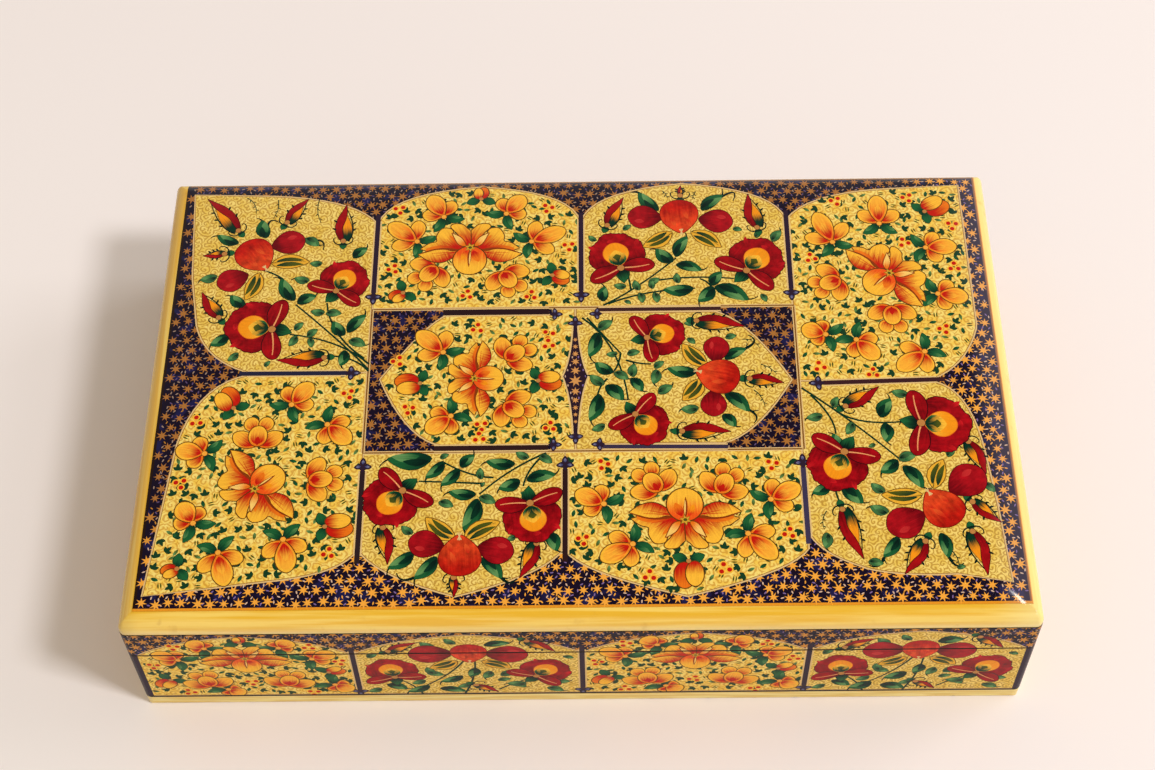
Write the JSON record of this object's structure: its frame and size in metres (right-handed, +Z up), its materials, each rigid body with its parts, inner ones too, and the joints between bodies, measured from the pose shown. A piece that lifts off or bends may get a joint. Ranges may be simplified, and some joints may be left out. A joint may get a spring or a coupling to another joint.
{
  "type": "lacquer box",
  "caption": "Flat rectangular wooden box with a hinged lid, painted all over with flowers and fruit under clear lacquer.",
  "frame": {"origin": "middle of the underside of the base, on the surface that the box stands on", "axes": "+X along the length to the right, +Y from the front to the hinged back, +Z up"},
  "size_m": [0.254, 0.157, 0.05],
  "materials": {
    "painted_top": "flowers and fruit painted on gold and navy grounds under gloss lacquer, ochre rounded edge",
    "painted_sides": "flowers and fruit painted on a gold ground under gloss lacquer",
    "painted_edges": "ochre paint under gloss lacquer",
    "black_lacquer": "black gloss lacquer",
    "hinge_brass": "aged, satin",
    "steel_wire": "dull"
  },
  "bodies": {
    "box_body": {"base_board": "painted_edges", "body_front_board": "painted_sides", "body_back_board": "painted_sides", "body_left_board": "painted_sides", "body_right_board": "painted_sides", "liner_front": "black_lacquer", "liner_back": "black_lacquer", "liner_left": "black_lacquer", "liner_right": "black_lacquer", "base_nail_1": "steel_wire", "base_nail_2": "steel_wire", "base_nail_3": "steel_wire", "base_nail_4": "steel_wire", "base_nail_5": "steel_wire", "base_nail_6": "steel_wire", "base_nail_7": "steel_wire", "base_nail_8": "steel_wire", "base_nail_9": "steel_wire", "base_nail_10": "steel_wire", "hinge_leaf_lower_left": "hinge_brass", "hinge_pin_left": "hinge_brass", "hinge_screw_lower_left_1": "hinge_brass", "hinge_screw_lower_left_2": "hinge_brass", "hinge_leaf_lower_right": "hinge_brass", "hinge_pin_right": "hinge_brass", "hinge_screw_lower_right_1": "hinge_brass", "hinge_screw_lower_right_2": "hinge_brass"},
    "lid": {"lid_top_board": "painted_top", "lid_front_rail": "painted_sides", "lid_back_rail": "painted_sides", "lid_left_rail": "painted_sides", "lid_right_rail": "painted_sides", "hinge_leaf_upper_left": "hinge_brass", "hinge_screw_upper_left_1": "hinge_brass", "hinge_screw_upper_left_2": "hinge_brass", "hinge_leaf_upper_right": "hinge_brass", "hinge_screw_upper_right_1": "hinge_brass", "hinge_screw_upper_right_2": "hinge_brass"}
  },
  "joints": [
    {"name": "lid_hinge", "type": "hinge", "parent": "box_body", "child": "lid", "pos_m": [0, 0.0766, 0.0315], "axis": [-1, 0, 0], "range_deg": [0, 105]}
  ]
}
